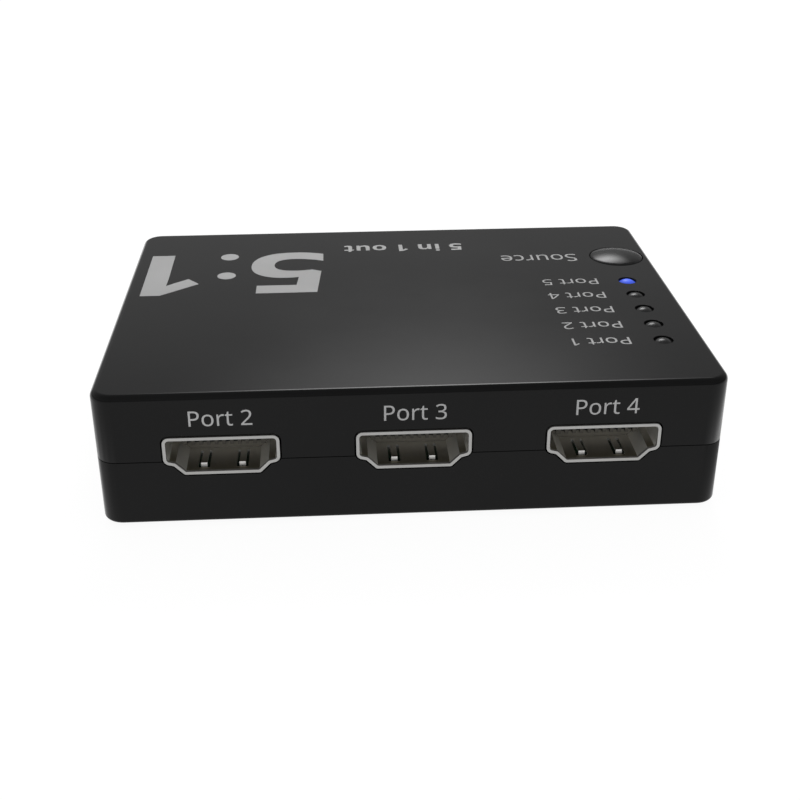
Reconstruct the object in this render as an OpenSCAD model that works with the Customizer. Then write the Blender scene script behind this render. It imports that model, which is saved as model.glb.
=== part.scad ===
// Video switch box: five inputs, one output, one select button.
// The casing is two moulded covers that part at a line half way up. The lower cover's four posts
// carry the circuit board, and the upper cover's four bosses clamp it, with one screw through each.
// Three sockets open through the near face (-Y) and three through the far face (+Y).
// Millimetres. Origin: middle of the footprint, on the surface that the feet stand on. +Z is up.

/* [Casing] */
// Width of the casing, along X
casing_w = 81; // [74:0.1:120]
// Depth of the casing, along Y, from socket face to socket face
casing_d = 60.2; // [56:0.1:100]
// Height of the casing without its feet
casing_h = 18.4; // [17:0.1:28]
// Radius of the upright corners
corner_r = 2.8; // [2.4:0.1:6]
// Radius of the edge round the top face
top_edge_r = 0.9; // [0.4:0.05:1.6]
// Radius of the edge round the underside
bottom_edge_r = 0.5; // [0.2:0.05:1]
// Thickness of the upright walls
wall = 1.8; // [1.5:0.1:2.2]
// Thickness of the roof
roof_t = 2; // [1.5:0.1:3]
// Thickness of the floor
floor_t = 2; // [1.6:0.1:3]
// Height of the parting line above the casing's underside
parting_h = 9; // [8:0.05:10.5]
// Height of the lip that keys the covers together
lip_h = 1.2; // [0.8:0.1:2]
// Clearance round the lip
lip_gap = 0.15; // [0.1:0.05:0.3]
// Height of the shadow line at the parting line
reveal_h = 0.1; // [0.1:0.05:0.4]
// Depth of the shadow line at the parting line
reveal_d = 0.15; // [0.1:0.05:0.4]

/* [Feet] */
// Diameter of a rubber foot
foot_d = 8; // [6:0.5:9]
// How far the feet stand proud of the casing
foot_proud = 0.8; // [0.4:0.1:2]
// Depth of the pocket that a foot is glued into
foot_pocket = 0.6; // [0.4:0.1:1]
// Radius of a foot's lower edge
foot_edge_r = 0.3; // [0.1:0.05:0.4]
// Clearance round a foot in its pocket
foot_gap = 0.1; // [0.05:0.05:0.2]
// Distance between a foot's middle and the screw beside it, along X
foot_from_screw = 8.5; // [7.5:0.5:12]
// Distance of a foot's middle from the near or far face
foot_inset = 8; // [7:0.5:12]

/* [Screws and posts] */
// Outer diameter of the lower cover's posts
post_d = 6; // [5.5:0.1:7]
// Outer diameter of the upper cover's bosses
boss_d = 5.6; // [4.5:0.1:6]
// Clearance between a post and the wall or socket beside it
post_gap = 0.33; // [0.1:0.01:1]
// Diameter of a screw's shank
screw_d = 2.2; // [2:0.1:2.6]
// Length of a screw under its head
screw_l = 10; // [8:0.5:11]
// Diameter of a screw's head
screw_head_d = 4.2; // [3.8:0.1:4.4]
// Height of a screw's head
screw_head_h = 1.5; // [1.2:0.1:1.8]
// Height of the seat for the heads above the casing's underside
screw_seat_h = 2.4; // [2:0.1:3]
// Clearance round the heads and shanks
screw_gap = 0.2; // [0.1:0.05:0.3]

/* [Sockets] */
// Width of a socket's opening
opening_w = 13.95; // [12:0.05:15]
// Height of a socket's opening
opening_h = 4.5; // [4.2:0.05:5]
// Width of the flat along the opening's bottom
opening_foot_w = 9.3; // [8:0.1:10]
// Slant of the opening's lower corners, in degrees
opening_foot_slant = 45; // [40:1:55]
// Height of the opening's lower, narrower part
opening_step_h = 1.43; // [1.2:0.01:1.6]
// Slope of the shoulders above that part, in degrees
opening_shoulder_slope = 15; // [0:1:25]
// Height of the openings' middle above the casing's underside
socket_h = 9.81; // [9:0.01:11]
// Thickness of the folded rim at a socket's mouth
rim_t = 0.4; // [0.35:0.05:0.7]
// Length of the folded rim
rim_l = 0.8; // [0.5:0.1:1.5]
// Thickness of the shell behind its rim
shell_t = 0.3; // [0.25:0.05:0.4]
// Length of a socket, from its mouth to its back
socket_l = 11; // [10:0.5:13]
// How far the rim stands proud of the casing
socket_proud = 0.1; // [0:0.05:0.3]
// Clearance between the rim and the casing
cutout_gap = 0.22; // [0.1:0.02:0.4]
// Depth of the cavity that takes the plug
cavity_l = 6.2; // [5.6:0.1:8]
// Depth of the tongue's tip behind the mouth
tongue_recess = 4.3; // [4.2:0.1:5]
// Width of the tongue
tongue_w = 10.8; // [10.2:0.1:11.4]
// Thickness of the tongue
tongue_t = 1.5; // [1.2:0.1:1.8]
// Height of the tongue's underside above the opening's bottom
tongue_lift = 1.5; // [1.3:0.02:2]
// Contacts in the upper row of a tongue
contacts = 10; // [6:1:10]
// Distance between contacts in one row
contact_pitch = 1; // [0.9:0.05:1.05]
// Width of a contact
contact_w = 0.34; // [0.25:0.01:0.4]
// Thickness of a contact
contact_t = 0.16; // [0.12:0.02:0.24]
// Distance of the spring fingers from the middle of the opening
finger_x = 2.45; // [1.8:0.05:3]
// Width of a spring finger
finger_w = 0.8; // [0.7:0.1:1.2]
// Width of the slots beside a spring finger
finger_slot = 0.35; // [0.2:0.05:0.4]
// Height that the fingers rise into the opening
finger_lift = 0.42; // [0.2:0.02:0.42]

/* [Circuit board] */
// Thickness of the board
board_t = 1.6; // [1.2:0.1:2]
// Clearance between the board's edge and the walls
board_gap = 0.6; // [0.3:0.1:1.5]
// Clearance round what passes through the board
board_hole_gap = 0.15; // [0.1:0.05:0.3]
// How far legs and pins stick out below the board
leg_below = 0.8; // [0.5:0.1:1.5]

/* [Select button] */
// Diameter of the hole in the roof
button_hole_d = 8.44; // [8:0.02:9]
// Clearance between the button and its hole
button_gap = 0.12; // [0.08:0.02:0.3]
// Distance of the button's middle from the right-hand face
button_inset = 5.27; // [5:0.01:6]
// Height of the dome above the roof
button_dome_h = 0.7; // [0.5:0.1:2]
// Thickness of the flange that keeps the button in
button_flange_t = 0.8; // [0.6:0.1:1.2]
// How far the flange reaches past the hole
button_flange_over = 0.4; // [0.3:0.05:0.8]
// Diameter of the stem under the button
button_stem_d = 4; // [3:0.1:5]
// Travel of the button
button_travel = 0.4; // [0.2:0.05:0.6]
// Width of the switch under the button
switch_w = 6; // [5:0.1:6.2]
// Height of the switch's base
switch_h = 3.4; // [3:0.1:4]
// Height of the switch's plunger above the board
plunger_h = 6; // [5:0.1:7]
// Diameter of the switch's plunger
plunger_d = 3.5; // [3:0.1:3.8]

/* [Indicators] */
// Number of indicators, one for each input
indicators = 5; // [5]
// Distance of the indicators from the right-hand face
guide_inset = 5.82; // [5.2:0.01:7]
// Distance between neighbouring indicators
guide_pitch = 5.46; // [5:0.02:5.6]
// Distance from the button to the nearest indicator
guide_from_button = 10.39; // [9:0.01:11]
// How far the row of button and indicators is set off from the middle, towards the far face
row_shift = 0.27; // [-0.5:0.01:0.5]
// Diameter of the holes in the roof
guide_hole_d = 2.7; // [2.3:0.1:3]
// Clearance between a light guide and its hole
guide_gap = 0.1; // [0.05:0.05:0.4]
// How far a light guide's tip stands proud of the roof's top face
guide_proud = 0.15; // [0:0.05:0.5]
// Radius of a light guide's domed tip
guide_tip_r = 1.8; // [1.5:0.1:3]
// Diameter of the collar that a light guide is held by
guide_collar_d = 3.1; // [3:0.1:3.6]
// Height of the collar
guide_collar_h = 1.2; // [0.8:0.1:2]
// Height of the rail under the roof that the collars are pressed into
guide_rail_h = 2; // [1.5:0.1:3]
// Wall of the rail round the collars
guide_rail_wall = 1; // [0.7:0.1:1.1]
// Height of a lamp on the board
lamp_h = 0.8; // [0.5:0.1:1.2]
// Gap between a lamp and the guide above it
lamp_gap = 0.3; // [0.2:0.1:0.8]

/* [Power socket] */
// Distance of the power socket from the middle of the left-hand face
jack_y = 0; // [-4:0.5:4]
// Diameter of the round nose in the wall
jack_nose_d = 6; // [5.5:0.1:6.4]
// Diameter of the hole for the plug
jack_bore_d = 3.9; // [3.7:0.1:4.2]
// Diameter of the centre pin
jack_pin_d = 1.3; // [1:0.1:1.65]
// Width of the body
jack_w = 7; // [6.4:0.1:8]
// Height of the body
jack_h = 6.4; // [6.2:0.1:7]
// Length of the body behind the wall
jack_l = 9; // [8:0.5:11]
// Depth of the nose's face behind the casing's face
jack_recess = 0.3; // [0:0.1:0.8]

/* [Hidden] */
$fn = 64;
// Cutters run past the faces that they cut by this much
over = 0.1;
// Clearance of pieces that are moulded or pressed into each other
fit = 0.02;

// Heights
casing_z = foot_proud;
casing_top = casing_z + casing_h;
ceiling_z = casing_top - roof_t;
floor_z = casing_z + floor_t;
parting_z = casing_z + parting_h;
socket_z = casing_z + socket_h;
board_top = socket_z - opening_h / 2 - shell_t;
board_z = board_top - board_t;
seat_z = casing_z + screw_seat_h;
screw_tip_z = seat_z + screw_l;
leg_z = board_z - leg_below;
// Length of a boss's hole past the screw's tip
screw_spare = 0.8;

// Plan
inner_w = casing_w - 2 * wall;
inner_d = casing_d - 2 * wall;
post_x = inner_w / 2 - post_gap - post_d / 2;
post_y = inner_d / 2 - post_gap - post_d / 2;
posts = [for (x = [-1, 1], y = [-1, 1]) [x * post_x, y * post_y]];
foot_x = post_x - foot_from_screw;
foot_y = casing_d / 2 - foot_inset;
feet = [for (x = [-1, 1], y = [-1, 1]) [x * foot_x, y * foot_y]];
board_w = inner_w - 2 * board_gap;
board_d = inner_d - 2 * board_gap;
lip_t = (wall - lip_gap) / 2;

// Sockets: the outer ones stand beside the posts. Each is [node name, place along X, side].
socket_pitch = post_x - post_d / 2 - post_gap - cutout_gap - rim_t - opening_w / 2;
NEAR = -1;
FAR = 1;
SOCKETS = [
    ["input_1", -socket_pitch, FAR],
    ["input_2", -socket_pitch, NEAR],
    ["input_3", 0, NEAR],
    ["input_4", socket_pitch, NEAR],
    ["input_5", socket_pitch, FAR],
    ["output", 0, FAR]
];
opening_top_r = 0.45;
opening_side_r = 0.45;
opening_foot_r = 0.12;
// A slanted line crosses its corner's arc by this much, as a line that only touches it has no
// clear meeting point
arc_slip = 0.005;
tongue_z = -opening_h / 2 + tongue_lift;
insulator_l = socket_l - shell_t;
tail_l = 1;
leg_w = 1.2;
leg_x = (opening_w + shell_t) / 2;
leg_depths = [4.4, 9];
finger_root = 5.4;
finger_bend = 1.55;
finger_tip = 1.45;
finger_dip = 0.13;
finger_heel = 0.2;
notch_w = 0.55;
notch_h = 0.9;
notch_l = 0.8;
contact_tip = tongue_recess + notch_l;

// Button, switch and indicators: one row along the right-hand face
button_x = casing_w / 2 - button_inset;
cap_r = button_hole_d / 2 - button_gap;
flange_r = button_hole_d / 2 + button_flange_over;
flange_gap = 0.1;
flange_top = ceiling_z - flange_gap;
guide_x = casing_w / 2 - guide_inset;
guide_r = guide_hole_d / 2 - guide_gap;
guides_l = (indicators - 1) * guide_pitch;
row_l = flange_r + guide_from_button + guides_l + guide_collar_d / 2;
button_y = row_shift + row_l / 2 - flange_r;
function guide_y(number) = button_y - guide_from_button - (indicators - number) * guide_pitch;
plunger_top = board_top + plunger_h;
plate_t = 0.2;
pocket_r = 2.3;
pocket_z = board_top + 1.3;
dome_t = 0.1;
dome_h = 0.7;
dome_gap = 0.2;
dome_r = pocket_r - dome_gap;
collar_gap = 0.1;
collar_r = pocket_r - collar_gap;
terminal_t = 0.3;
terminal_w = 0.7;
terminal_y = 2.25;
terminal_up = 1.2;
terminal_x = (switch_w + terminal_t) / 2;
terminals = [for (x = [-1, 1], y = [-1, 1]) [button_x + x * terminal_x, button_y + y * terminal_y]];

// Power socket
jack_x = -casing_w / 2 + jack_recess;
jack_z = board_top + jack_h / 2;
jack_nose_l = wall + board_gap - jack_recess;
jack_bore_l = 8.5;
jack_pin_recess = 1;
jack_back = jack_nose_l + jack_l;
jack_tail_t = 0.4;
jack_tail_w = 1.2;
jack_leaf_x = 4.5;
jack_leaf_l = 3;
jack_leaf_t = 0.25;
jack_tails = [for (x = [jack_back, jack_leaf_x]) jack_x + x + jack_tail_t / 2];

// Components on the board: [x, y] of their middles, and their sizes
chip_h = 1.4;
chip_stand_off = 0.1;
video_chip_at = [0, 0];
video_chip_w = 10;
video_lead_w = 0.22;
control_chip_at = [21, 1];
control_chip_w = 3.9;
control_chip_l = 8.6;
control_lead_w = 0.42;
regulator_at = [-22, 7];
regulator_w = 6.5;
regulator_l = 3.5;
regulator_pitch = 2.3;
regulator_lead_w = 0.7;
regulator_tab_w = 3;
crystal_at = [13.6, 1];
bulk_capacitors_at = [[-22, -3], [-15, -3]];

// A bent lead: how far it reaches out, where its bend begins and ends, its rise and its thickness
lead_reach = 1;
lead_shoulder = 0.35;
lead_heel = 0.5;
lead_up = 0.75;
lead_t = 0.15;
lead_slant = 0.1;

// Ceramic capacitors in a ring round the video chip
ceramic_size = [1.6, 0.8, 0.8];
ceramics_out = 3.2;
ceramics_r = video_chip_w / 2 + lead_reach + ceramics_out;
ceramics_at = [for (a = [15:30:345]) ceramics_r * [cos(a), sin(a)]];

// Resistors in a row behind each socket
resistor_size = [0.8, 1.6, 0.45];
resistor_pitch = 2;
resistors_from_socket = 4;
resistors_y = casing_d / 2 - socket_l - resistors_from_socket;
resistors_at = [for (s = SOCKETS, k = [-1.5:1:1.5]) [s[1] + k * resistor_pitch, s[2] * resistors_y]];

// Sweeps an upright profile round the casing's walls. Its x is measured out from a corner's axis.
module round_the_walls() {
    side_w = casing_w - 2 * corner_r;
    side_d = casing_d - 2 * corner_r;
    for (turn = [0:3]) {
        out = turn % 2 == 0 ? side_w / 2 : side_d / 2;
        side = turn % 2 == 0 ? side_d : side_w;
        rotate(90 * turn) translate([out, side / 2, 0]) {
            rotate_extrude(angle = 90) children();
            rotate([90, 0, 0]) linear_extrude(side) children();
        }
    }
}

// The flat slab inside that sweep
module slab(z, t) {
    w = casing_w - 2 * corner_r;
    d = casing_d - 2 * corner_r;
    translate([-w / 2, -d / 2, z]) cube([w, d, t]);
}

// What a rounded edge takes off a square corner at the origin
module edge_waste(r) {
    difference() {
        square(r + over);
        circle(r);
    }
}

// Where the line through p along u meets the line through q along v
function meeting(p, u, q, v) = p + u * cross(q - p, v) / cross(u, v);

// Outline of a socket's opening, grown outwards by g: round upper corners, sloping shoulders, and
// below them a narrower part with slanted and slightly rounded corners
module opening(g) {
    half_w = opening_w / 2;
    half_h = opening_h / 2;
    top_r = opening_top_r + g;
    side_r = opening_side_r + g;
    foot_r = opening_foot_r + g;
    top_at = [half_w - opening_top_r, half_h - opening_top_r];
    side_at = [half_w - opening_side_r, opening_step_h + opening_side_r - half_h];
    slope = [cos(opening_shoulder_slope), sin(opening_shoulder_slope)];
    slant = [cos(opening_foot_slant), sin(opening_foot_slant)];
    shoulder = side_at + (side_r - arc_slip) * [slope[1], -slope[0]];
    outward = [slant[1], -slant[0]];
    slant_at = [opening_foot_w / 2, -half_h];
    foot_at = meeting(slant_at - opening_foot_r * outward, slant, [0, opening_foot_r - half_h], [1, 0]);
    heel = foot_at + (foot_r - arc_slip) * outward;
    step = meeting(shoulder, slope, heel, slant);
    right = [
        [foot_at[0], -half_h - g], heel, step, shoulder, [half_w + g, side_at[1]],
        [half_w + g, top_at[1]], [top_at[0], half_h + g]
    ];
    left = [for (i = [len(right) - 1:-1:0]) [-right[i][0], right[i][1]]];
    polygon(concat(right, left));
    for (s = [-1, 1]) {
        translate([s * top_at[0], top_at[1]]) circle(top_r);
        translate([s * side_at[0], side_at[1]]) circle(side_r);
        translate([s * foot_at[0], foot_at[1]]) circle(foot_r);
    }
}

// Extrudes an outline drawn in X and Z along Y, from one depth to another
module along_depth(from, to) {
    translate([0, to, 0]) rotate([90, 0, 0]) linear_extrude(to - from) children();
}

// Puts a socket, modelled with its mouth at the origin and its depth along +Y, in its place
module in_place(s) {
    translate([s[1], s[2] * (casing_d / 2 + socket_proud), socket_z])
        rotate(s[2] == FAR ? 180 : 0) children();
}

module socket_cutouts() {
    for (s = SOCKETS) in_place(s)
        along_depth(-over, wall + socket_proud + over) opening(rim_t + cutout_gap);
}

module jack_cutout() {
    translate([-casing_w / 2 - over, jack_y, jack_z])
        rotate([0, 90, 0]) cylinder(d = jack_nose_d + 2 * cutout_gap, h = wall + 2 * over);
}

module top_profile() {
    difference() {
        union() {
            translate([corner_r - wall, parting_z]) square([wall, casing_top - parting_z]);
            translate([0, ceiling_z]) square([corner_r, roof_t]);
        }
        translate([corner_r - top_edge_r, casing_top - top_edge_r]) edge_waste(top_edge_r);
        translate([corner_r - wall - over, parting_z - over])
            square([lip_t + lip_gap + over, lip_h + lip_gap + over]);
        translate([corner_r - reveal_d, parting_z - over]) square([reveal_d + over, reveal_h + over]);
    }
}

// Upper cover: roof, walls, screw bosses and the rail that holds the light guides
module top_cover() {
    rail_w = guide_collar_d + 2 * guide_rail_wall;
    rail_l = guides_l + rail_w;
    button_hole_l = roof_t + button_flange_t + 2 * button_travel;
    color([0.13, 0.13, 0.13]) difference() {
        union() {
            round_the_walls() top_profile();
            slab(ceiling_z, roof_t);
            for (p = posts) translate([p[0], p[1], board_top])
                cylinder(d = boss_d, h = ceiling_z - board_top + over);
            translate([guide_x - rail_w / 2, guide_y(1) - rail_w / 2, ceiling_z - guide_rail_h])
                cube([rail_w, rail_l, guide_rail_h + over]);
        }
        socket_cutouts();
        jack_cutout();
        for (p = posts) translate([p[0], p[1], board_top - over])
            cylinder(d = screw_d + 2 * fit, h = screw_tip_z - board_top + screw_spare + over);
        translate([button_x, button_y, casing_top - button_hole_l])
            cylinder(d = button_hole_d, h = button_hole_l + over);
        for (i = [1:indicators]) translate([guide_x, guide_y(i), 0]) {
            translate([0, 0, ceiling_z - over]) cylinder(d = guide_hole_d, h = roof_t + 2 * over);
            translate([0, 0, ceiling_z - guide_rail_h - over])
                cylinder(d = guide_collar_d + 2 * fit, h = guide_rail_h + over);
        }
    }
}

module bottom_profile() {
    difference() {
        union() {
            translate([corner_r - wall, casing_z]) square([wall, parting_z - casing_z]);
            translate([corner_r - wall, parting_z - over]) square([lip_t, lip_h + over]);
            translate([0, casing_z]) square([corner_r, floor_t]);
        }
        translate([corner_r - bottom_edge_r, casing_z + bottom_edge_r])
            mirror([0, 1]) edge_waste(bottom_edge_r);
    }
}

// Lower cover: floor, walls with the keying lip, and the posts that carry the board
module bottom_cover() {
    color([0.12, 0.12, 0.12]) difference() {
        union() {
            round_the_walls() bottom_profile();
            slab(casing_z, floor_t);
            for (p = posts) translate([p[0], p[1], floor_z - over])
                cylinder(d = post_d, h = board_z - floor_z + over);
        }
        socket_cutouts();
        jack_cutout();
        for (p = posts) translate([p[0], p[1], casing_z - over]) {
            cylinder(d = screw_head_d + 2 * screw_gap, h = screw_seat_h + over);
            cylinder(d = screw_d + 2 * screw_gap, h = board_z - casing_z + 2 * over);
        }
        for (p = feet) translate([p[0], p[1], casing_z - over])
            cylinder(d = foot_d + 2 * foot_gap, h = foot_pocket + over);
    }
}

// Four glued pads
module rubber_feet() {
    foot_r = foot_d / 2;
    foot_t = foot_proud + foot_pocket;
    color([0.09, 0.09, 0.09]) for (p = feet) translate([p[0], p[1], 0])
        rotate_extrude() difference() {
            square([foot_r, foot_t]);
            translate([foot_r - foot_edge_r, foot_edge_r]) mirror([0, 1]) edge_waste(foot_edge_r);
        }
}

// Four self-tapping screws, head down, through the lower cover and the board into the bosses
module case_screws() {
    slot_w = 0.8;
    slot_l = 2.4;
    slot_h = 0.8;
    tip_h = 1;
    color([0.6, 0.6, 0.62]) for (p = posts) translate([p[0], p[1], seat_z]) difference() {
        union() {
            translate([0, 0, -screw_head_h]) cylinder(d = screw_head_d, h = screw_head_h);
            cylinder(d = screw_d, h = screw_l - tip_h);
            translate([0, 0, screw_l - tip_h]) cylinder(d1 = screw_d, d2 = screw_d / 2, h = tip_h);
        }
        for (turn = [0, 90]) rotate(turn) translate([-slot_l / 2, -slot_w / 2, -screw_head_h - over])
            cube([slot_l, slot_w, slot_h + over]);
    }
}

// A slot through the board for a flat leg of this section, centred on the origin
module board_slot(l, w) {
    slot_l = l + 2 * board_hole_gap;
    slot_w = w + 2 * board_hole_gap;
    translate([-slot_l / 2, -slot_w / 2, board_z - over]) cube([slot_l, slot_w, board_t + 2 * over]);
}

// Circuit board: one sheet, with holes for the screws and slots for legs and terminals
module circuit_board() {
    color([0.05, 0.22, 0.12]) difference() {
        translate([-board_w / 2, -board_d / 2, board_z]) cube([board_w, board_d, board_t]);
        for (p = posts) translate([p[0], p[1], board_z - over])
            cylinder(d = screw_d + 2 * screw_gap, h = board_t + 2 * over);
        for (s = SOCKETS, side = [-1, 1], depth = leg_depths)
            in_place(s) translate([side * leg_x, depth, -socket_z]) board_slot(shell_t, leg_w);
        for (p = terminals) translate([p[0], p[1], 0]) board_slot(terminal_t, terminal_w);
        for (x = jack_tails) translate([x, jack_y, 0]) board_slot(jack_tail_t, jack_tail_w);
    }
}

// Socket shell: one folded metal sheet with a rim, two spring fingers in its floor and four legs
module socket_shell(s) {
    low = -opening_h / 2 - shell_t;
    lip_z = shell_t - finger_dip;
    finger_end = finger_root + over;
    window_w = finger_w + 2 * finger_slot;
    window_l = finger_root - finger_tip + finger_slot;
    color([0.62, 0.62, 0.6]) in_place(s) {
        difference() {
            union() {
                along_depth(0, rim_l) opening(rim_t);
                along_depth(rim_l - over, socket_l) opening(shell_t);
                for (side = [-1, 1], depth = leg_depths)
                    translate([side * leg_x - shell_t / 2, depth - leg_w / 2, leg_z - socket_z])
                        cube([shell_t, leg_w, socket_z - leg_z]);
            }
            along_depth(-over, socket_l + over) opening(0);
            for (side = [-1, 1])
                translate([side * finger_x - window_w / 2, finger_tip - finger_slot, low - over])
                    cube([window_w, window_l, shell_t + 2 * over]);
        }
        for (side = [-1, 1]) translate([side * finger_x - finger_w / 2, 0, low])
            rotate([90, 0, 90]) linear_extrude(finger_w) polygon([
                [finger_tip + finger_heel, lip_z], [finger_bend + finger_heel, finger_lift],
                [finger_root, 0], [finger_end, 0], [finger_end, shell_t], [finger_root, shell_t],
                [finger_bend, shell_t + finger_lift], [finger_tip, lip_z]
            ]);
    }
}

// Places of a socket's contacts: the rows are half a pitch apart. Each is [x, lower or upper row].
LOWER = 0;
UPPER = 1;
contact_places = concat(
    [for (i = [0:contacts - 1]) [(i - (contacts - 1) / 2) * contact_pitch, UPPER]],
    [for (i = [0:contacts - 2]) [(i - (contacts - 2) / 2) * contact_pitch, LOWER]]
);
function contact_z(row) = row == UPPER ? tongue_z + tongue_t - contact_t : tongue_z;

// Socket insulator: the moulded block that closes the shell's back, with the tongue for the contacts
module socket_insulator(s) {
    notches = [for (place = contact_places) if (place[1] == UPPER) place[0]];
    color([0.07, 0.07, 0.07]) in_place(s) difference() {
        union() {
            along_depth(cavity_l, insulator_l) opening(-fit);
            translate([-tongue_w / 2, tongue_recess, tongue_z])
                cube([tongue_w, cavity_l - tongue_recess + over, tongue_t]);
        }
        for (place = contact_places)
            translate([place[0] - contact_w / 2 - fit, contact_tip - fit, contact_z(place[1]) - fit])
                cube([contact_w + 2 * fit, socket_l - contact_tip, contact_t + 2 * fit]);
        for (x = notches) translate([x - notch_w / 2, tongue_recess - over, tongue_z - over])
            cube([notch_w, notch_l + over, notch_h + over]);
    }
}

// Socket contacts: flat strips along the tongue that bend down to the board behind the block
module socket_contacts(s) {
    tip = contact_tip;
    foot_z = board_top - socket_z;
    color([0.8, 0.65, 0.3]) in_place(s) for (place = contact_places) {
        z = contact_z(place[1]);
        translate([place[0] - contact_w / 2, 0, 0]) rotate([90, 0, 90]) linear_extrude(contact_w) polygon([
            [tip, z], [socket_l, z], [socket_l, foot_z], [socket_l + tail_l, foot_z],
            [socket_l + tail_l, foot_z + contact_t], [socket_l + contact_t, foot_z + contact_t],
            [socket_l + contact_t, z + contact_t], [tip, z + contact_t]
        ]);
    }
}

// Select button: domed cap, a flange under the roof that keeps it in, and a stem down to the switch
module select_button() {
    dome_top = casing_top + button_dome_h;
    ball_r = (cap_r * cap_r + button_dome_h * button_dome_h) / 2 / button_dome_h;
    wall_x = inner_w / 2 - button_gap - button_x;
    flange_z = flange_top - button_flange_t;
    color([0.14, 0.14, 0.14]) translate([button_x, button_y, 0]) {
        intersection() {
            translate([0, 0, flange_z]) cylinder(r = cap_r, h = dome_top - flange_z);
            translate([0, 0, dome_top - ball_r]) sphere(r = ball_r, $fn = 128);
        }
        intersection() {
            translate([0, 0, flange_z]) cylinder(r = flange_r, h = button_flange_t);
            translate([-2 * flange_r, -flange_r, flange_z])
                cube([2 * flange_r + wall_x, 2 * flange_r, button_flange_t]);
        }
        translate([0, 0, plunger_top]) cylinder(d = button_stem_d, h = flange_z - plunger_top + over);
    }
}

// Switch base: square moulded box with a round pocket for the snap dome
module switch_base() {
    color([0.08, 0.08, 0.08]) translate([button_x, button_y, board_top]) difference() {
        translate([-switch_w / 2, -switch_w / 2, 0]) cube([switch_w, switch_w, switch_h]);
        translate([0, 0, pocket_z - board_top]) cylinder(r = pocket_r, h = switch_h);
    }
}

// Switch plate: the sheet that keeps the plunger in the base
module switch_plate() {
    color([0.7, 0.7, 0.7]) translate([button_x, button_y, board_top + switch_h]) difference() {
        translate([-switch_w / 2, -switch_w / 2, 0]) cube([switch_w, switch_w, plate_t]);
        translate([0, 0, -over]) cylinder(d = plunger_d + 2 * button_gap, h = plate_t + 2 * over);
    }
}

// Switch plunger: pin with a collar that stops under the plate
module switch_plunger() {
    collar_z = pocket_z + dome_h + fit;
    color([0.1, 0.1, 0.1]) translate([button_x, button_y, 0]) {
        translate([0, 0, collar_z]) cylinder(r = collar_r, h = board_top + switch_h - fit - collar_z);
        translate([0, 0, collar_z]) cylinder(d = plunger_d, h = plunger_top - collar_z);
    }
}

// Snap dome: thin sprung disc under the plunger
module switch_dome() {
    ball_r = (dome_r * dome_r + dome_h * dome_h) / 2 / dome_h;
    color([0.75, 0.7, 0.55]) translate([button_x, button_y, pocket_z]) rotate_extrude() intersection() {
        square([dome_r, dome_h]);
        translate([0, dome_h - ball_r]) difference() {
            circle(ball_r);
            circle(ball_r - dome_t);
        }
    }
}

// Switch terminals: four flat legs at the base's sides, through the board
module switch_terminals() {
    color([0.75, 0.75, 0.75]) for (p = terminals)
        translate([p[0] - terminal_t / 2, p[1] - terminal_w / 2, leg_z])
            cube([terminal_t, terminal_w, board_top + terminal_up - leg_z]);
}

// Light guide: smoked rod with a domed tip in the roof, held by its collar in the rail
module light_guide(number) {
    foot_z = board_top + lamp_h + lamp_gap;
    tip_z = casing_top + guide_proud - guide_tip_r;
    color([0.1, 0.1, 0.12]) translate([guide_x, guide_y(number), 0]) {
        rotate_extrude() {
            translate([0, foot_z]) square([guide_r, tip_z - foot_z + over]);
            translate([0, tip_z]) intersection() {
                square([guide_r, guide_tip_r]);
                circle(guide_tip_r);
            }
        }
        translate([0, 0, ceiling_z - guide_collar_h]) cylinder(d = guide_collar_d, h = guide_collar_h);
    }
}

// Lamp: small light-emitting chip on the board
module lamp(number) {
    lamp_w = 1.25;
    lamp_l = 2;
    color([0.9, 0.9, 0.85]) translate([guide_x - lamp_l / 2, guide_y(number) - lamp_w / 2, board_top])
        cube([lamp_l, lamp_w, lamp_h]);
}

// Power socket body: box on the board with a round nose in the wall
module power_jack_body() {
    slot_gap = 0.1;
    color([0.06, 0.06, 0.06]) translate([jack_x, jack_y, jack_z]) difference() {
        union() {
            rotate([0, 90, 0]) cylinder(d = jack_nose_d, h = jack_nose_l + over);
            translate([jack_nose_l, -jack_w / 2, -jack_h / 2]) cube([jack_l, jack_w, jack_h]);
        }
        translate([-over, 0, 0]) rotate([0, 90, 0]) cylinder(d = jack_bore_d, h = jack_bore_l + over);
        rotate([0, 90, 0]) cylinder(d = jack_pin_d + 2 * fit, h = jack_back + over);
        translate([jack_leaf_x - slot_gap, -jack_tail_w / 2 - slot_gap, -jack_h / 2 - over])
            cube([jack_leaf_l + 2 * slot_gap, jack_tail_w + 2 * slot_gap, jack_h / 2]);
    }
}

// Power socket pin: round pin through the body's back, with a flat tail down through the board
module power_jack_pin() {
    tip_r = jack_pin_d / 2;
    color([0.75, 0.75, 0.72]) translate([jack_x, jack_y, jack_z]) {
        translate([jack_pin_recess + tip_r, 0, 0]) rotate([0, 90, 0])
            cylinder(d = jack_pin_d, h = jack_back - jack_pin_recess - tip_r + jack_tail_t / 2);
        translate([jack_pin_recess + tip_r, 0, 0]) sphere(r = tip_r);
        translate([jack_back, -jack_tail_w / 2, leg_z - jack_z])
            cube([jack_tail_t, jack_tail_w, jack_z - leg_z + jack_pin_d / 2]);
    }
}

// Power socket spring: leaf in the body's underside that bears on the plug, with a tail through the board
module power_jack_spring() {
    leaf_z = -jack_bore_d / 2 - jack_leaf_t / 2;
    color([0.72, 0.72, 0.7]) translate([jack_x + jack_leaf_x, jack_y - jack_tail_w / 2, jack_z]) {
        translate([0, 0, leaf_z]) cube([jack_leaf_l, jack_tail_w, jack_leaf_t]);
        translate([0, 0, leg_z - jack_z])
            cube([jack_tail_t, jack_tail_w, leaf_z + jack_z - leg_z + jack_leaf_t]);
    }
}

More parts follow.
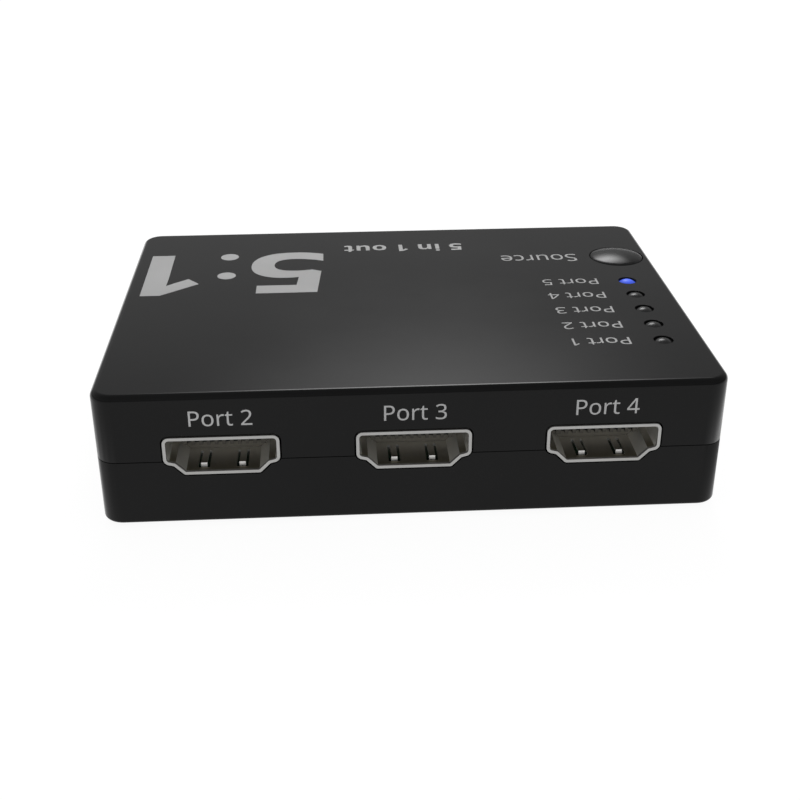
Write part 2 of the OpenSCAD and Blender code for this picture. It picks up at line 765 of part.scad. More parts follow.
// One bent chip lead, drawn outwards along X from the chip's side, with its foot on the board
module bent_lead(w) {
    translate([0, w / 2, 0]) rotate([90, 0, 0]) linear_extrude(w) polygon([
        [0, lead_up], [lead_shoulder, lead_up], [lead_heel, 0], [lead_reach, 0],
        [lead_reach, lead_t], [lead_heel + lead_slant, lead_t],
        [lead_shoulder + lead_slant, lead_up + lead_t], [0, lead_up + lead_t]
    ]);
}

module chip_body(at, size_x, size_y) {
    color([0.06, 0.06, 0.07])
        translate([at[0] - size_x / 2, at[1] - size_y / 2, board_top + chip_stand_off])
            cube([size_x, size_y, chip_h]);
}

module video_chip() {
    chip_body(video_chip_at, video_chip_w, video_chip_w);
}

module video_chip_leads() {
    per_side = 16;
    pitch = 0.5;
    color([0.75, 0.75, 0.75]) translate([video_chip_at[0], video_chip_at[1], board_top])
        for (turn = [0:3], i = [0:per_side - 1]) rotate(90 * turn)
            translate([video_chip_w / 2, (i - (per_side - 1) / 2) * pitch, 0]) bent_lead(video_lead_w);
}

module control_chip() {
    chip_body(control_chip_at, control_chip_w, control_chip_l);
}

module control_chip_leads() {
    per_side = 7;
    pitch = 1.27;
    color([0.75, 0.75, 0.75]) translate([control_chip_at[0], control_chip_at[1], board_top])
        for (turn = [0, 180], i = [0:per_side - 1]) rotate(turn)
            translate([control_chip_w / 2, (i - (per_side - 1) / 2) * pitch, 0]) bent_lead(control_lead_w);
}

module voltage_regulator() {
    chip_body(regulator_at, regulator_w, regulator_l);
}

module regulator_leads() {
    color([0.75, 0.75, 0.75]) translate([regulator_at[0], regulator_at[1], board_top]) {
        for (i = [-1, 0, 1]) translate([i * regulator_pitch, -regulator_l / 2, 0])
            rotate(-90) bent_lead(regulator_lead_w);
        translate([0, regulator_l / 2, 0]) rotate(90) bent_lead(regulator_tab_w);
    }
}

// Crystal: low metal can with round ends
module crystal() {
    can_w = 4.2;
    can_l = 6.4;
    can_h = 3.2;
    color([0.75, 0.75, 0.76]) translate([crystal_at[0], crystal_at[1], board_top]) {
        translate([-can_w / 2, -can_l / 2, 0]) cube([can_w, can_l, can_h]);
        for (y = [-1, 1]) translate([0, y * can_l / 2, 0]) cylinder(d = can_w, h = can_h);
    }
}

// Two upright can capacitors
module bulk_capacitors() {
    can_d = 5;
    can_h = 5.4;
    base_w = 5.2;
    base_h = 0.8;
    color([0.7, 0.7, 0.72]) for (p = bulk_capacitors_at) translate([p[0], p[1], board_top]) {
        cylinder(d = can_d, h = can_h);
        translate([-base_w / 2, -base_w / 2, 0]) cube([base_w, base_w, base_h]);
    }
}

module surface_parts(places, size) {
    for (p = places) translate([p[0] - size[0] / 2, p[1] - size[1] / 2, board_top]) cube(size);
}

module ceramic_capacitors() {
    color([0.6, 0.5, 0.38]) surface_parts(ceramics_at, ceramic_size);
}

module resistors() {
    color([0.1, 0.1, 0.1]) surface_parts(resistors_at, resistor_size);
}

top_cover();
bottom_cover();
circuit_board();
case_screws();
rubber_feet();
select_button();
switch_base();
switch_plate();
switch_plunger();
switch_dome();
switch_terminals();
for (s = SOCKETS) socket_shell(s);
for (s = SOCKETS) socket_insulator(s);
for (s = SOCKETS) socket_contacts(s);
for (i = [1:indicators]) light_guide(i);
for (i = [1:indicators]) lamp(i);
power_jack_body();
power_jack_pin();
power_jack_spring();
video_chip();
video_chip_leads();
control_chip();
control_chip_leads();
voltage_regulator();
regulator_leads();
crystal();
bulk_capacitors();
ceramic_capacitors();
resistors();
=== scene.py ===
from math import pi, radians

import bmesh
import bpy
from mathutils import Matrix, Vector


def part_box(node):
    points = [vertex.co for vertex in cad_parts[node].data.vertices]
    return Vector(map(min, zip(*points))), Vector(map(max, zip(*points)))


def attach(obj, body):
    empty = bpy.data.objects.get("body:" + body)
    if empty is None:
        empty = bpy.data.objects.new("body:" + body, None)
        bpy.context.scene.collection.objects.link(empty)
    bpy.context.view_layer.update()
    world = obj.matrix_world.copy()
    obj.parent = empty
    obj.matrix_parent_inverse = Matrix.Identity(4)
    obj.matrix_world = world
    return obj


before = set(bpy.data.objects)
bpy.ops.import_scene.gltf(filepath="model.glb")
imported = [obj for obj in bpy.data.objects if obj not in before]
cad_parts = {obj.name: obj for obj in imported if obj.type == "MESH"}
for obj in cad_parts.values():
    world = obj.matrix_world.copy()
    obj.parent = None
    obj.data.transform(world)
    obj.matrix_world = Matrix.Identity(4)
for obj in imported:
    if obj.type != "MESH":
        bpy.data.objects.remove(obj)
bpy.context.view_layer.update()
MM = 0.001


# Camera: stands in front of the near face and looks down on it, as the photo was taken.
# Its place and lens come from fitting the box's edges and its six straight outlines.
camera_data = bpy.data.cameras.new("camera")
camera_data.sensor_width = 36
camera_data.lens = 55.28
camera_data.clip_start = 0.01
camera = bpy.data.objects.new("camera", camera_data)
camera.matrix_world = (
    Matrix.Translation((-0.0098056, -0.1667088, 0.0874164))
    @ Matrix.Rotation(radians(-3.358), 4, "Z")
    @ Matrix.Rotation(radians(90 - 26.998), 4, "X")
    @ Matrix.Rotation(radians(-0.156), 4, "Z")
)
bpy.context.scene.collection.objects.link(camera)
bpy.context.scene.camera = camera


# Studio: a white sheet of paper as the floor, and round it a pale room, a little darker on the right.
# A softbox hangs behind and above, with its spill on the backdrop under it, and a low panel is in front.
FLOOR_HALF = 3.0
PAPER = (0.86, 0.86, 0.86)
PAPER_GLOW = 1.07
PAPER_GLOW_SHARE = 0.88
ROOM = (
    (0.0, 1.0), (0.03, 0.5), (0.1, 0.26), (0.26, 0.385),
    (0.34, 0.47), (0.45, 0.47), (0.6, 0.42), (1.0, 0.40)
)
ROOM_TO_RIGHT = -0.35
ROOM_LIGHT = 0.55
SOFTBOX_AT = Vector((0.044, 0.4147, 0.4273))
SOFTBOX_SIZE = (0.46, 0.30)
SOFTBOX_MIDDLE = 9.2
SPILL_AT = Vector((0.050, 0.463, 0.360))
SPILL_SIZE = (0.37, 0.31)
SPILL_MIDDLE = 2.4
PANEL_AT = Vector((-0.10, -0.80, 0.15))
PANEL_SIZE = (0.8, 0.6)
PANEL_POWER = 1.6


def add(tree, kind, **settings):
    """A new node of this kind in the tree, with these settings."""
    node = tree.nodes.new("ShaderNode" + kind)
    for name, value in settings.items():
        setattr(node, name, value)
    return node


def link(tree, source, goal):
    tree.links.new(source, goal)


def seen_straight(tree):
    """One for rays from the camera, mirrors and clear stuff, nought for those that light a matt face."""
    path = add(tree, "LightPath")
    first = add(tree, "Math", operation="MAXIMUM")
    both = add(tree, "Math", operation="MAXIMUM")
    link(tree, path.outputs["Is Camera Ray"], first.inputs[0])
    link(tree, path.outputs["Is Glossy Ray"], first.inputs[1])
    link(tree, first.outputs[0], both.inputs[0])
    link(tree, path.outputs["Is Transmission Ray"], both.inputs[1])
    return both.outputs[0]


world = bpy.data.worlds.new("white_room")
world.use_nodes = True
tree = world.node_tree
up = add(tree, "SeparateXYZ")
link(tree, add(tree, "TexCoord").outputs["Generated"], up.inputs[0])
shade = add(tree, "ValToRGB")
stops = shade.color_ramp.elements
for stop in ROOM[2:]:
    stops.new(0.5)
for stop, (height, value) in zip(stops, ROOM):
    stop.position = height
    stop.color = (value, value, value, 1)
link(tree, up.outputs["Z"], shade.inputs["Fac"])
right = add(tree, "Math", operation="MULTIPLY_ADD")
right.inputs[1].default_value = ROOM_TO_RIGHT
right.inputs[2].default_value = 1
link(tree, up.outputs["X"], right.inputs[0])
wall = add(tree, "VectorMath", operation="SCALE")
link(tree, shade.outputs["Color"], wall.inputs[0])
link(tree, right.outputs[0], wall.inputs["Scale"])
tone = add(tree, "Mix", data_type="RGBA")
tone.inputs[6].default_value = (ROOM_LIGHT, ROOM_LIGHT, ROOM_LIGHT, 1)
link(tree, seen_straight(tree), tone.inputs["Factor"])
link(tree, wall.outputs[0], tone.inputs[7])
link(tree, tone.outputs[2], tree.nodes["Background"].inputs["Color"])
bpy.context.scene.world = world
bpy.context.scene.view_settings.view_transform = "Standard"

paper = bpy.data.materials.new("paper")
paper.use_nodes = True
tree = paper.node_tree
sheet = tree.nodes["Principled BSDF"]
sheet.inputs["Base Color"].default_value = (*PAPER, 1)
sheet.inputs["Roughness"].default_value = 0.9
sheet.inputs["Specular IOR Level"].default_value = 0.0
glow = add(tree, "Emission")
glow.inputs["Strength"].default_value = PAPER_GLOW
share = add(tree, "Math", operation="MULTIPLY")
share.inputs[1].default_value = PAPER_GLOW_SHARE
link(tree, seen_straight(tree), share.inputs[0])
blend = add(tree, "MixShader")
link(tree, share.outputs[0], blend.inputs["Fac"])
link(tree, sheet.outputs[0], blend.inputs[1])
link(tree, glow.outputs[0], blend.inputs[2])
link(tree, blend.outputs[0], tree.nodes["Material Output"].inputs["Surface"])

bm = bmesh.new()
bmesh.ops.create_grid(bm, x_segments=1, y_segments=1, size=FLOOR_HALF)
floor_mesh = bpy.data.meshes.new("floor")
bm.to_mesh(floor_mesh)
bm.free()
floor_mesh.materials.append(paper)
floor = bpy.data.objects.new("floor", floor_mesh)
bpy.context.scene.collection.objects.link(floor)


def new_lamp(name, shape, at, size, power):
    """A flat lamp of this outline that faces the object."""
    data = bpy.data.lights.new(name, "AREA")
    data.shape = shape
    data.size, data.size_y = size
    data.energy = power
    lamp = bpy.data.objects.new(name, data)
    lamp.matrix_world = Matrix.Translation(at) @ at.to_track_quat("Z", "Y").to_matrix().to_4x4()
    bpy.context.scene.collection.objects.link(lamp)
    return lamp


def new_glow(name, at, size, middle):
    """A round lamp of this brightness in its middle, with white as one, that fades out at its edge."""
    lamp = new_lamp(name, "ELLIPSE", at, size, pi * pi / 4 * size[0] * size[1]).data
    lamp.use_nodes = True
    tree = lamp.node_tree
    outwards = add(tree, "VectorMath", operation="DISTANCE")
    outwards.inputs[1].default_value = (0.5, 0.5, 0)
    link(tree, add(tree, "NewGeometry").outputs["Parametric"], outwards.inputs[0])
    fading = add(tree, "MapRange", interpolation_type="SMOOTHSTEP")
    fading.inputs["From Max"].default_value = 0.5
    fading.inputs["To Min"].default_value = middle
    fading.inputs["To Max"].default_value = 0
    link(tree, outwards.outputs["Value"], fading.inputs["Value"])
    link(tree, fading.outputs["Result"], tree.nodes["Emission"].inputs["Strength"])


new_glow("softbox", SOFTBOX_AT, SOFTBOX_SIZE, SOFTBOX_MIDDLE)
new_glow("spill", SPILL_AT, SPILL_SIZE, SPILL_MIDDLE)
new_lamp("panel", "RECTANGLE", PANEL_AT, PANEL_SIZE, PANEL_POWER).visible_glossy = False


# Lower cover: tray of black plastic, moulded in one shot with its posts, lips and screw wells.
# The mould is finely eroded, so the skin is a satin grain, with edges just broken by the tool.
def new_group(name, inputs, outputs):
    """An empty node group with these number inputs and outputs, and its two ends' sockets."""
    tree = bpy.data.node_groups.new(name, "ShaderNodeTree")
    for label, value in inputs.items():
        socket = tree.interface.new_socket(label, in_out="INPUT", socket_type="NodeSocketFloat")
        socket.default_value = value
    for label in outputs:
        tree.interface.new_socket(label, in_out="OUTPUT", socket_type="NodeSocketFloat")
    return tree, tree.nodes.new("NodeGroupInput").outputs, tree.nodes.new("NodeGroupOutput").inputs


def smooth(tree, value, start, end):
    """A mask that rises softly from nought to one while the value goes from start to end."""
    step = add(tree, "MapRange", interpolation_type="SMOOTHSTEP")
    step.inputs["From Min"].default_value = start
    step.inputs["From Max"].default_value = end
    link(tree, value, step.inputs["Value"])
    return step.outputs["Result"]


skin, given, result = new_group("skin", {"Grain": 9000, "Drift": 60}, ("Grain", "Drift", "Rub"))
where = add(skin, "TexCoord").outputs["Object"]
grain = add(skin, "TexNoise")
grain.inputs["Detail"].default_value = 2
link(skin, where, grain.inputs["Vector"])
link(skin, given["Grain"], grain.inputs["Scale"])
link(skin, grain.outputs["Fac"], result["Grain"])
drift = add(skin, "TexNoise")
drift.inputs["Detail"].default_value = 3
link(skin, where, drift.inputs["Vector"])
link(skin, given["Drift"], drift.inputs["Scale"])
link(skin, smooth(skin, drift.outputs["Fac"], 0.3, 0.7), result["Drift"])
turn = add(skin, "Mapping")
turn.inputs["Rotation"].default_value = (0, 0, 0.5)
turn.inputs["Scale"].default_value = (1, 14, 14)
link(skin, where, turn.inputs["Vector"])
rub = add(skin, "TexNoise")
rub.inputs["Scale"].default_value = 120
rub.inputs["Detail"].default_value = 4
link(skin, turn.outputs["Vector"], rub.inputs["Vector"])
link(skin, smooth(skin, rub.outputs["Fac"], 0.6, 0.75), result["Rub"])


def new_material(name, metallic=0.0, specular=0.5):
    """A material with these constants: the material, its tree and its shader's inputs."""
    material = bpy.data.materials.new(name)
    material.use_nodes = True
    shader = material.node_tree.nodes["Principled BSDF"].inputs
    shader["Metallic"].default_value = metallic
    shader["Specular IOR Level"].default_value = specular
    return material, material.node_tree, shader


def mixed(tree, mask, low, high):
    """A colour that goes from low to high with the mask. Each end is a colour or a node's output."""
    mix = add(tree, "Mix", data_type="RGBA")
    for end, colour in ((mix.inputs[6], low), (mix.inputs[7], high)):
        if isinstance(colour, tuple):
            end.default_value = (*colour, 1)
        else:
            link(tree, colour, end)
    link(tree, mask, mix.inputs["Factor"])
    return mix.outputs[2]


def ranged(tree, mask, low, high):
    """A number that goes from low to high with the mask."""
    span = add(tree, "MapRange")
    span.inputs["To Min"].default_value = low
    span.inputs["To Max"].default_value = high
    link(tree, mask, span.inputs["Value"])
    return span.outputs["Result"]


def bumped(tree, height, depth):
    """A normal with bumps of this depth in metres."""
    bump = add(tree, "Bump")
    bump.inputs["Distance"].default_value = depth
    link(tree, height, bump.inputs["Height"])
    return bump.outputs["Normal"]


def moulded(name, low, high, rough, specular, grain=9000, depth=0.000003):
    """A moulded plastic or rubber: drifting colour, drifting and rubbed gloss, fine grain."""
    material, tree, shader = new_material(name, specular=specular)
    face = add(tree, "Group", node_tree=skin)
    face.inputs["Grain"].default_value = grain
    link(tree, mixed(tree, face.outputs["Drift"], low, high), shader["Base Color"])
    gloss = ranged(tree, face.outputs["Drift"], *rough)
    worn = add(tree, "Math", operation="MULTIPLY_ADD")
    worn.inputs[1].default_value = -0.05
    link(tree, face.outputs["Rub"], worn.inputs[0])
    link(tree, gloss, worn.inputs[2])
    link(tree, worn.outputs[0], shader["Roughness"])
    link(tree, bumped(tree, face.outputs["Grain"], depth), shader["Normal"])
    return material


def break_edges(node, width):
    """Joins a CAD node's triangles to flat faces and rounds its hard edges by this width in metres."""
    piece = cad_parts[node]
    weld = piece.modifiers.new("weld", "WELD")
    weld.merge_threshold = 0.001 * MM
    flat = piece.modifiers.new("flat_faces", "DECIMATE")
    flat.decimate_type = "DISSOLVE"
    flat.angle_limit = radians(0.5)
    edge = piece.modifiers.new("broken_edges", "BEVEL")
    edge.width = width
    edge.segments = 2
    edge.limit_method = "ANGLE"
    edge.angle_limit = radians(40)
    edge.harden_normals = True


def paint(material, *nodes):
    """Gives the CAD nodes this material."""
    for node in nodes:
        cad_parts[node].material_slots[0].material = material


CASING_EDGE = 0.05 * MM
casing_plastic = moulded(
    "casing_plastic", (0.0036, 0.0036, 0.0037), (0.0046, 0.0046, 0.0047),
    rough=(0.13, 0.15), specular=0.15, depth=0.000001
)
paint(casing_plastic, "bottom_cover")
break_edges("bottom_cover", CASING_EDGE)


# Feet: four round pads of black rubber, pressed with a soft edge and glued in shallow wells.
# Their faces are matt and a little dusty from the shelf.
foot_rubber = moulded(
    "foot_rubber", (0.010, 0.010, 0.010), (0.022, 0.021, 0.020),
    rough=(0.75, 0.9), specular=0.3, grain=3500, depth=0.000012
)
paint(foot_rubber, "rubber_feet")


# Circuit board: a sheet of glass laminate under green mask, with copper lines that show through
# it as a lighter green. It lies on the posts and carries all that follows.
laminate, tree, shader = new_material("board_laminate", specular=0.4)
face = add(tree, "Group", node_tree=skin)
where = add(tree, "TexCoord").outputs["Object"]
lines = add(tree, "TexBrick")
lines.inputs["Scale"].default_value = 300
lines.inputs["Mortar Size"].default_value = 0.025
lines.inputs["Color1"].default_value = (0, 0, 0, 1)
lines.inputs["Color2"].default_value = (0.25, 0.25, 0.25, 1)
lines.inputs["Mortar"].default_value = (1, 1, 1, 1)
link(tree, where, lines.inputs["Vector"])
mask_green = mixed(tree, lines.outputs["Color"], (0.002, 0.009, 0.004), (0.006, 0.03, 0.012))
link(tree, mask_green, shader["Base Color"])
link(tree, ranged(tree, face.outputs["Drift"], 0.25, 0.4), shader["Roughness"])
link(tree, bumped(tree, lines.outputs["Color"], 0.00002), shader["Normal"])
paint(laminate, "circuit_board")


# Parts on the board: black resin bodies with stamped leads, two aluminium cans, a crystal's can,
# and rows of tan ceramic and black resistor chips. A machine places and solders them.
streaks, given, result = new_group("streaks", {"Along": 300, "Across": 9000}, ("Streak", "Cloud"))
where = add(streaks, "TexCoord").outputs["Object"]
pull = add(streaks, "CombineXYZ")
link(streaks, given["Across"], pull.inputs["X"])
link(streaks, given["Along"], pull.inputs["Y"])
link(streaks, given["Across"], pull.inputs["Z"])
drawn = add(streaks, "VectorMath", operation="MULTIPLY")
link(streaks, where, drawn.inputs[0])
link(streaks, pull.outputs[0], drawn.inputs[1])
streak = add(streaks, "TexNoise")
streak.inputs["Scale"].default_value = 1
streak.inputs["Detail"].default_value = 3
link(streaks, drawn.outputs[0], streak.inputs["Vector"])
link(streaks, streak.outputs["Fac"], result["Streak"])
cloud = add(streaks, "TexNoise")
cloud.inputs["Scale"].default_value = 350
cloud.inputs["Detail"].default_value = 4
link(streaks, where, cloud.inputs["Vector"])
link(streaks, cloud.outputs["Fac"], result["Cloud"])


def rolled(name, low, high, rough, metallic=1.0, depth=0.000002):
    """A plated or bare sheet metal: clouded colour, rolling streaks in its gloss and surface."""
    material, tree, shader = new_material(name, metallic=metallic)
    face = add(tree, "Group", node_tree=streaks)
    link(tree, mixed(tree, face.outputs["Cloud"], low, high), shader["Base Color"])
    link(tree, ranged(tree, face.outputs["Streak"], *rough), shader["Roughness"])
    link(tree, bumped(tree, face.outputs["Streak"], depth), shader["Normal"])
    return material


chip_resin = moulded(
    "chip_resin", (0.012, 0.012, 0.013), (0.022, 0.022, 0.023),
    rough=(0.55, 0.7), specular=0.4, grain=6000, depth=0.000006
)
paint(chip_resin, "video_chip", "control_chip", "voltage_regulator", "resistors")
tinned = rolled("tinned", (0.52, 0.52, 0.50), (0.68, 0.68, 0.66), rough=(0.25, 0.45))
paint(tinned, "video_chip_leads", "control_chip_leads", "regulator_leads", "switch_terminals")
can_metal = rolled("can_metal", (0.55, 0.55, 0.55), (0.72, 0.72, 0.71), rough=(0.2, 0.4))
paint(can_metal, "crystal", "bulk_capacitors")
ceramic = moulded(
    "ceramic", (0.25, 0.16, 0.09), (0.36, 0.25, 0.15), rough=(0.45, 0.6), specular=0.4, grain=7000
)
paint(ceramic, "ceramic_capacitors")
for node in ("video_chip", "control_chip", "voltage_regulator", "crystal", "bulk_capacitors"):
    break_edges(node, 0.1 * MM)


# Sockets: each a nickel-plated sheet folded round a black moulded tongue. The folded rim stands
# just out of the wall, two sprung fingers rise from the floor, gold contacts line the tongue.
# Inside, painted shade darkens the sheet's floor towards the mouth and the tongue behind its tip.
RIM_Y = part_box("input_3_shell")[0].y
TONGUE_DEPTH = 4.3
BLOCK_DEPTH = 6.2

inside, _, result = new_group("inside", {}, ("Depth", "Up", "Out"))
place = add(inside, "TexCoord").outputs
spot = add(inside, "SeparateXYZ")
link(inside, place["Object"], spot.inputs[0])
from_middle = add(inside, "Math", operation="ABSOLUTE")
link(inside, spot.outputs["Y"], from_middle.inputs[0])
depth = add(inside, "Math", operation="MULTIPLY_ADD")
depth.inputs[1].default_value = -1 / MM
depth.inputs[2].default_value = -RIM_Y / MM
link(inside, from_middle.outputs[0], depth.inputs[0])
link(inside, depth.outputs[0], result["Depth"])
facing = add(inside, "SeparateXYZ")
link(inside, place["Normal"], facing.inputs[0])
link(inside, facing.outputs["Z"], result["Up"])
outward = add(inside, "Math", operation="ABSOLUTE")
link(inside, facing.outputs["Y"], outward.inputs[0])
link(inside, outward.outputs[0], result["Out"])


socket_metal = rolled(
    "socket_metal", (0.34, 0.338, 0.33), (0.42, 0.417, 0.407), rough=(0.25, 0.35), metallic=0.8
)
tree = socket_metal.node_tree
base = tree.nodes["Principled BSDF"].inputs["Base Color"]
face = add(tree, "Group", node_tree=inside).outputs
# Painted light and shade inside: the floor darkens towards the mouth, and walls, roof and faces turned
# along the socket are painted pale.
painted_floor_shade = mixed(tree, smooth(tree, face["Depth"], 0.5, 6), (0.19, 0.172, 0.13), (0.72, 0.70, 0.65))
painted_wall_light = mixed(tree, smooth(tree, face["Up"], 0.8, 0.95), (0.85, 0.84, 0.80), painted_floor_shade)
painted_inside_light = mixed(tree, smooth(tree, face["Out"], 0.7, 0.9), painted_wall_light, (0.85, 0.84, 0.82))
behind_rim = smooth(tree, face["Depth"], 0.25, 0.6)
link(tree, mixed(tree, behind_rim, base.links[0].from_socket, painted_inside_light), base)

tongue_plastic = moulded(
    "tongue_plastic", (0.055, 0.052, 0.043), (0.070, 0.065, 0.054), rough=(0.45, 0.55), specular=0.5
)
tree = tongue_plastic.node_tree
base = tree.nodes["Principled BSDF"].inputs["Base Color"]
face = add(tree, "Group", node_tree=inside).outputs
# Painted shadow blacks the tongue behind its tip, and painted light makes the face of the block behind
# it pale.
behind_tip = smooth(tree, face["Depth"], TONGUE_DEPTH + 0.02, TONGUE_DEPTH + 0.06)
painted_tongue_shadow = mixed(tree, behind_tip, base.links[0].from_socket, (0.003, 0.003, 0.003))
at_block = smooth(tree, face["Depth"], BLOCK_DEPTH - 0.15, BLOCK_DEPTH - 0.05)
link(tree, mixed(tree, at_block, painted_tongue_shadow, (0.14, 0.132, 0.11)), base)
contact_gold = rolled("contact_gold", (0.62, 0.42, 0.16), (0.78, 0.55, 0.24), rough=(0.2, 0.35))
for socket in ("input_1", "input_2", "input_3", "input_4", "input_5", "output"):
    paint(socket_metal, socket + "_shell")
    break_edges(socket + "_shell", 0.13 * MM)
    paint(tongue_plastic, socket + "_insulator")
    paint(contact_gold, socket + "_contacts")


# Power socket: a black moulded box whose round nose fills the hole in the left wall, with a
# plated centre pin and a leaf that bears on the plug.
jack_plastic = moulded(
    "jack_plastic", (0.009, 0.009, 0.009), (0.014, 0.014, 0.014), rough=(0.35, 0.45), specular=0.35
)
paint(jack_plastic, "power_jack_body")
break_edges("power_jack_body", 0.15 * MM)
pin_metal = rolled("pin_metal", (0.60, 0.60, 0.58), (0.74, 0.73, 0.71), rough=(0.15, 0.3))
paint(pin_metal, "power_jack_pin", "power_jack_spring")


# Push switch: black base on the board, a sprung dome in its pocket, a plunger on the dome and a
# pressed plate that keeps the plunger in.
paint(jack_plastic, "switch_base", "switch_plunger")
spring_metal = rolled("spring_metal", (0.55, 0.50, 0.40), (0.68, 0.62, 0.50), rough=(0.2, 0.35))
paint(spring_metal, "switch_dome")
paint(can_metal, "switch_plate")


# Indicators: a lamp chip on the board under each smoked rod, whose domed tip stands in the roof.
# The rod of the chosen input, number 5, glows blue and is palest in its middle.
GUIDES = 5
LIT = 5
lamp_resin = moulded(
    "lamp_resin", (0.55, 0.53, 0.38), (0.70, 0.68, 0.52), rough=(0.25, 0.35), specular=0.5
)
smoked = moulded(
    "smoked_resin", (0.009, 0.009, 0.009), (0.013, 0.013, 0.013), rough=(0.22, 0.28), specular=0.4
)
for number in range(1, GUIDES + 1):
    paint(lamp_resin, f"lamp_{number}")
    paint(smoked, f"light_guide_{number}")

lit, tree, shader = new_material("lit_resin", specular=0.2)
face = add(tree, "Group", node_tree=skin)
low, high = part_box(f"light_guide_{LIT}")
axis = (low + high) / 2
offset = add(tree, "VectorMath", operation="SUBTRACT")
offset.inputs[1].default_value = (axis.x, axis.y, high.z)
link(tree, add(tree, "TexCoord").outputs["Object"], offset.inputs[0])
away = add(tree, "VectorMath", operation="LENGTH")
link(tree, offset.outputs[0], away.inputs[0])
to_rim = smooth(tree, away.outputs["Value"], 0.2 * MM, 1.1 * MM)
link(tree, mixed(tree, to_rim, (0.01, 0.02, 0.1), (0.005, 0.01, 0.06)), shader["Base Color"])
link(tree, mixed(tree, to_rim, (0.09, 0.17, 0.95), (0.04, 0.085, 0.60)), shader["Emission Color"])
shader["Emission Strength"].default_value = 1
link(tree, ranged(tree, face.outputs["Drift"], 0.3, 0.4), shader["Roughness"])
paint(lit, f"light_guide_{LIT}")


# Upper cover: the roof and walls in one moulding of the same black plastic, set on the tray's
# lip. A fine line stays open where the two meet.
paint(casing_plastic, "top_cover")
break_edges("top_cover", CASING_EDGE)


# Screws: four self-tapping ones of zinc-plated steel, driven from below into the roof's bosses.
# Their heads lie deep in wells of the tray, and the two cross slots are pressed in.
screw_steel = rolled("screw_steel", (0.42, 0.43, 0.44), (0.58, 0.58, 0.58), rough=(0.25, 0.45))
paint(screw_steel, "case_screws")
break_edges("case_screws", 0.12 * MM)


# Select button: a domed cap of black plastic, polished by the tool, with a rolled edge, a flange
# that keeps it under the roof and a stem that stands on the switch.
button_plastic = moulded(
    "button_plastic", (0.0040, 0.0040, 0.0041), (0.0050, 0.0050, 0.0052),
    rough=(0.20, 0.24), specular=0.25, depth=0.000001
)
paint(button_plastic, "select_button")
break_edges("select_button", 0.45 * MM)


# Printed marks: pale grey ink, laid on by pad in a film that just stands proud of the plastic.
# Plain words and numbers tell the sockets and lamps apart; the large figures say that five go to one.
INK_T = 0.03 * MM
INK_UP = 0.02 * MM
LINE_HALF_T = 0.01
LIGHT = (0x1D5A0, 0x1D5BA, 0x1D7E2)
BOLD = (0x1D5D4, 0x1D5EE, 0x1D7EC)
ROOF_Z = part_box("top_cover")[1].z
NEAR_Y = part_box("bottom_cover")[0].y
FAR_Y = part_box("bottom_cover")[1].y
ink = moulded(
    "print_ink", (0.42, 0.42, 0.42), (0.48, 0.48, 0.48),
    rough=(0.5, 0.6), specular=0.2, grain=5000, depth=0.000004
)
UPRIGHT = Matrix.Rotation(pi / 2, 4, "X")
TURNED = Matrix.Rotation(pi, 4, "Z")


def on_roof(x, y):
    """Lies on the roof, to be read from the far side."""
    return Matrix.Translation((x * MM, y * MM, ROOF_Z + INK_UP - INK_T / 2)) @ TURNED


def on_near_face(x, z):
    """Stands on the near face, so many millimetres up."""
    return Matrix.Translation((x * MM, NEAR_Y - INK_UP + INK_T / 2, z * MM)) @ UPRIGHT


def on_far_face(x, z):
    """Stands on the far face, so many millimetres up."""
    return Matrix.Translation((x * MM, FAR_Y + INK_UP - INK_T / 2, z * MM)) @ TURNED @ UPRIGHT


def sans(words, capital, small, digit):
    """The words in letters without serifs. Their first capital, small letter and nought are given."""
    plain = {ord("A") + i: capital + i for i in range(26)}
    plain.update({ord("a") + i: small + i for i in range(26)})
    plain.update({ord("0") + i: digit + i for i in range(10)})
    return words.translate(plain)


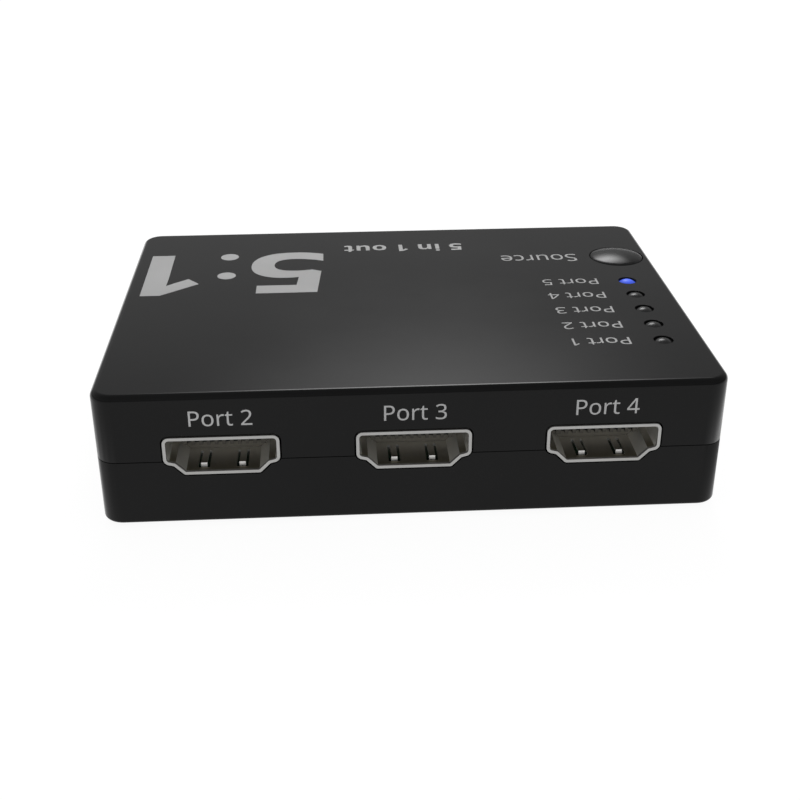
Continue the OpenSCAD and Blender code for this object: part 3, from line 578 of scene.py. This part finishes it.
def write(bm, words, place, height, width=None, align="CENTER", bold=False):
    """Adds a line of words, so many millimetres high and wide, with its middle line at the place."""
    line = bpy.data.curves.new("line", "FONT")
    line.body = sans(words, *(BOLD if bold else LIGHT))
    line.align_x = align
    line.extrude = LINE_HALF_T
    holder = bpy.data.objects.new("line", line)
    bpy.context.scene.collection.objects.link(holder)
    graph = bpy.context.evaluated_depsgraph_get()
    drawn = bpy.data.meshes.new_from_object(holder.evaluated_get(graph))
    bpy.data.objects.remove(holder)
    bpy.data.curves.remove(line)
    word = bmesh.new()
    word.from_mesh(drawn)
    bpy.data.meshes.remove(drawn)
    bmesh.ops.remove_doubles(word, verts=word.verts, dist=1e-5)
    ups = [v.co.y for v in word.verts]
    across = [v.co.x for v in word.verts]
    tall = height * MM / (max(ups) - min(ups))
    wide = width * MM / (max(across) - min(across)) if width else tall
    middle = Matrix.Translation((0, -(max(ups) + min(ups)) / 2, 0))
    sized = Matrix.Diagonal((wide, tall, INK_T / (2 * LINE_HALF_T), 1))
    bmesh.ops.transform(word, matrix=place @ sized @ middle, verts=word.verts)
    placed = bpy.data.meshes.new("word")
    word.to_mesh(placed)
    word.free()
    bm.from_mesh(placed)
    bpy.data.meshes.remove(placed)


def new_piece(name, bm, material, body):
    """Makes the finished mesh a piece of the object that moves with this body."""
    mesh = bpy.data.meshes.new(name)
    bm.to_mesh(mesh)
    bm.free()
    mesh.materials.append(material)
    piece = bpy.data.objects.new(name, mesh)
    bpy.context.scene.collection.objects.link(piece)
    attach(piece, body)


SOCKET_X = 24.445
SOCKET_WORDS_Z = 15.89
SOCKET_WORDS_H = 2.17
NEAR_WORDS_SHIFT = 0.1
LAMP_WORDS_X = 30.44
LAMP_WORDS_H = 2.25
bm = bmesh.new()
for number, x in ((2, -SOCKET_X), (3, 0), (4, SOCKET_X)):
    write(bm, f"Port {number}", on_near_face(x + NEAR_WORDS_SHIFT, SOCKET_WORDS_Z), SOCKET_WORDS_H)
for words, x in (("Port 1", -SOCKET_X), ("Out", 0), ("Port 5", SOCKET_X)):
    write(bm, words, on_far_face(x, SOCKET_WORDS_Z), SOCKET_WORDS_H)
new_piece("socket_words", bm, ink, "casing")

bm = bmesh.new()
for number in range(1, GUIDES + 1):
    low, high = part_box(f"light_guide_{number}")
    beside_lamp = on_roof(LAMP_WORDS_X, (low.y + high.y) / 2 / MM)
    write(bm, f"Port {number}", beside_lamp, LAMP_WORDS_H, align="LEFT")
write(bm, "Source", on_roof(22.9, 14.78), 3.1, 11.9)
write(bm, "5 in 1 out", on_roof(1.8, 20.9), 3.2, bold=True)
write(bm, "5:1", on_roof(-25.9, 11.4), 17.0, 27.0, bold=True)
new_piece("roof_words", bm, ink, "casing")
